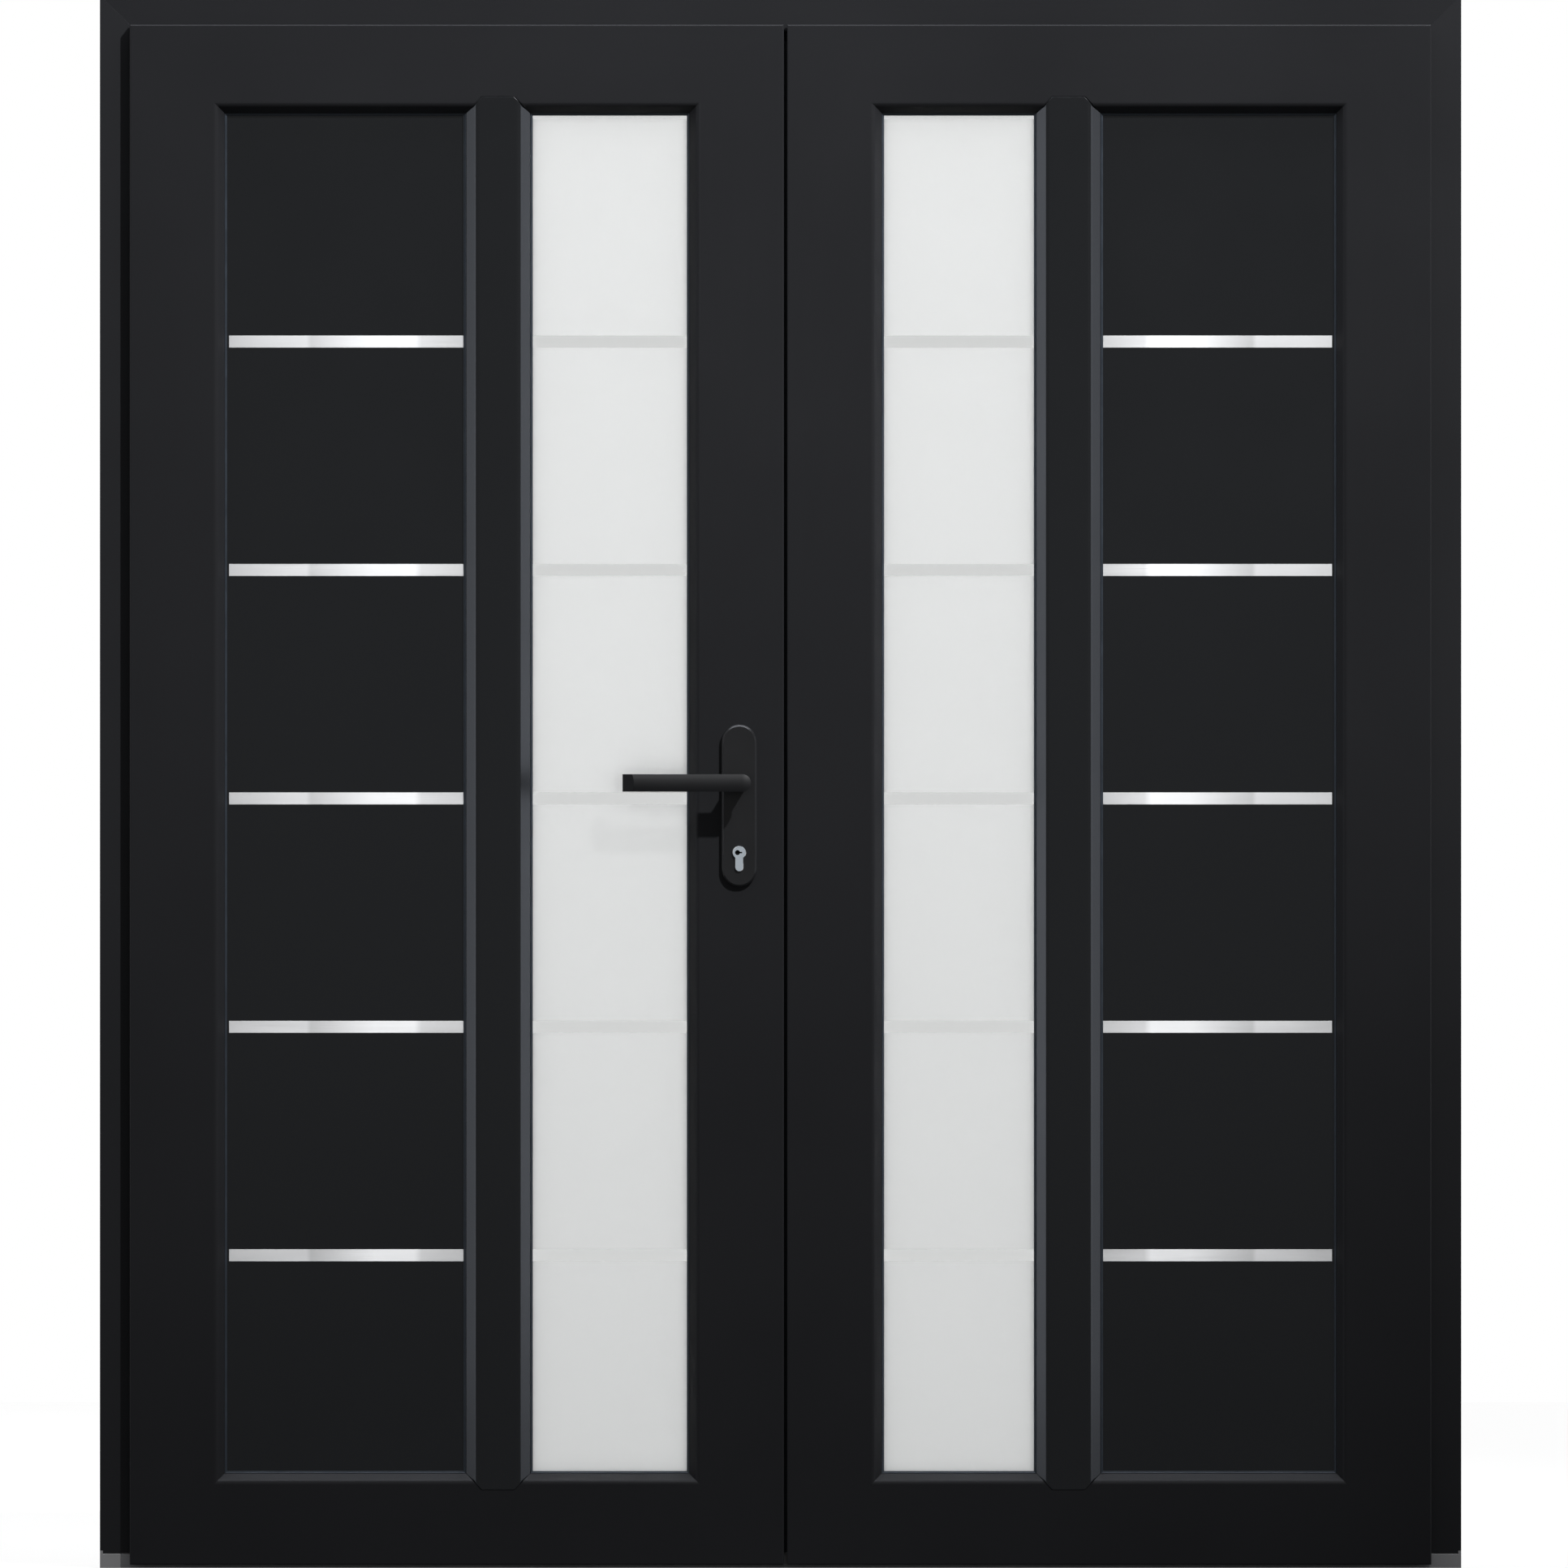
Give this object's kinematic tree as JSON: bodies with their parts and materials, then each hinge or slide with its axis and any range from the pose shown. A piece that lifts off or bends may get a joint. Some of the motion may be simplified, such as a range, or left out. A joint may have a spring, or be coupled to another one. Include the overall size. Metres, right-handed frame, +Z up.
{
  "type": "french doors",
  "caption": "Pair of black outward opening french doors in a frame, each leaf with a dark panel crossed by steel strips beside a tall frosted light, with a lever handle and lock.",
  "frame": {"origin": "middle of the threshold's underside, on the floor", "axes": "+Z up, +X to the right as seen from the outside, -Y out of the door towards the viewer"},
  "size_m": [1.8, 0.194, 2.08],
  "materials": {
    "profile_black": "satin, fine grain",
    "panel_black": "satin",
    "seal_rubber": "matt",
    "strip_steel": "brushed lengthwise",
    "hardware_zinc": "zinc plated",
    "hardware_steel": "satin",
    "sill_aluminium": "grey anodised",
    "frosted_glass": "frosted with clear stripes",
    "clear_glass": "clear",
    "spacer_metal": "mill",
    "cylinder_nickel": "satin nickel",
    "handle_black": "satin black"
  },
  "bodies": {
    "frame": {"left_jamb": "profile_black", "right_jamb": "profile_black", "head": "profile_black", "threshold": "sill_aluminium", "frame_seal": "seal_rubber", "head_keep": "hardware_zinc", "hinge_frame_plates": "hardware_zinc", "hinge_pins": "hardware_steel", "hinge_frame_screws": "hardware_steel"},
    "active_leaf": {"active_hinge_stile": "profile_black", "active_meeting_stile": "profile_black", "active_top_rail": "profile_black", "active_bottom_rail": "profile_black", "active_mullion": "profile_black", "active_panel": "panel_black", "active_panel_strips": "strip_steel", "active_glass_outer": "frosted_glass", "active_glass_inner": "clear_glass", "active_glass_spacer": "spacer_metal", "active_glazing_gaskets": "seal_rubber", "active_glazing_beads": "profile_black", "active_leaf_seal": "seal_rubber", "active_meeting_seal": "seal_rubber", "active_hinge_plates": "hardware_zinc", "active_hinge_screws": "hardware_steel", "lock_faceplate": "hardware_steel", "lock_case": "hardware_zinc", "cylinder_body": "cylinder_nickel", "outer_backplate": "handle_black", "inner_backplate": "handle_black", "backplate_screws": "hardware_steel"},
    "passive_leaf": {"passive_hinge_stile": "profile_black", "passive_meeting_stile": "profile_black", "passive_top_rail": "profile_black", "passive_bottom_rail": "profile_black", "passive_mullion": "profile_black", "passive_panel": "panel_black", "passive_panel_strips": "strip_steel", "passive_glass_outer": "frosted_glass", "passive_glass_inner": "clear_glass", "passive_glass_spacer": "spacer_metal", "passive_glazing_gaskets": "seal_rubber", "passive_glazing_beads": "profile_black", "passive_leaf_seal": "seal_rubber", "passive_meeting_seal": "seal_rubber", "passive_hinge_plates": "hardware_zinc", "passive_hinge_screws": "hardware_steel", "strike_plate": "hardware_steel", "flush_bolt_plates": "hardware_steel"},
    "lever_set": {"outer_lever": "handle_black", "inner_lever": "handle_black", "spindle": "hardware_steel", "lock_follower": "hardware_zinc"},
    "latch": {"latch_bolt": "hardware_steel"},
    "bolt": {"dead_bolt": "hardware_steel"},
    "key_plug": {"outer_plug": "cylinder_nickel"},
    "room_plug": {"inner_plug": "cylinder_nickel"},
    "upper_bolt": {"upper_flush_bolt": "hardware_steel"},
    "lower_bolt": {"lower_flush_bolt": "hardware_steel"}
  },
  "joints": [
    {"name": "active_swing", "type": "hinge", "parent": "frame", "child": "active_leaf", "pos_m": [-0.8552, -0.0465, 1.0225], "axis": [0, 0, -1], "range_deg": [0, 95]},
    {"name": "passive_swing", "type": "hinge", "parent": "frame", "child": "passive_leaf", "pos_m": [0.8552, -0.0465, 1.0225], "axis": [0, 0, 1], "range_deg": [0, 95]},
    {"name": "lever_turn", "type": "hinge", "parent": "active_leaf", "child": "lever_set", "pos_m": [-0.0545, -0.02, 1.038], "axis": [0, -1, 0], "range_deg": [0, 40], "stiffness_Nm_per_rad": 1.2, "springref_deg": -57.3},
    {"name": "latch_slide", "type": "slide", "parent": "active_leaf", "child": "latch", "axis": [-1, 0, 0], "range_m": [0, 0.0131]},
    {"name": "key_turn", "type": "hinge", "parent": "active_leaf", "child": "key_plug", "pos_m": [-0.0545, -0.02, 0.946], "axis": [0, 1, 0], "range_deg": [0, 360]},
    {"name": "bolt_slide", "type": "slide", "parent": "active_leaf", "child": "bolt", "axis": [1, 0, 0], "range_m": [0, 0.02]},
    {"name": "room_key_turn", "type": "hinge", "parent": "active_leaf", "child": "room_plug", "pos_m": [-0.0545, -0.02, 0.946], "axis": [0, -1, 0], "range_deg": [0, 360]},
    {"name": "upper_bolt_slide", "type": "slide", "parent": "passive_leaf", "child": "upper_bolt", "axis": [0, 0, 1], "range_m": [0, 0.02]},
    {"name": "lower_bolt_slide", "type": "slide", "parent": "passive_leaf", "child": "lower_bolt", "axis": [0, 0, -1], "range_m": [0, 0.02]}
  ],
  "couplings": [
    {"joint": "latch_slide", "follows": "lever_turn", "m_per_rad": 0.018621},
    {"joint": "key_turn", "follows": "bolt_slide", "rad_per_m": 314.16}
  ]
}
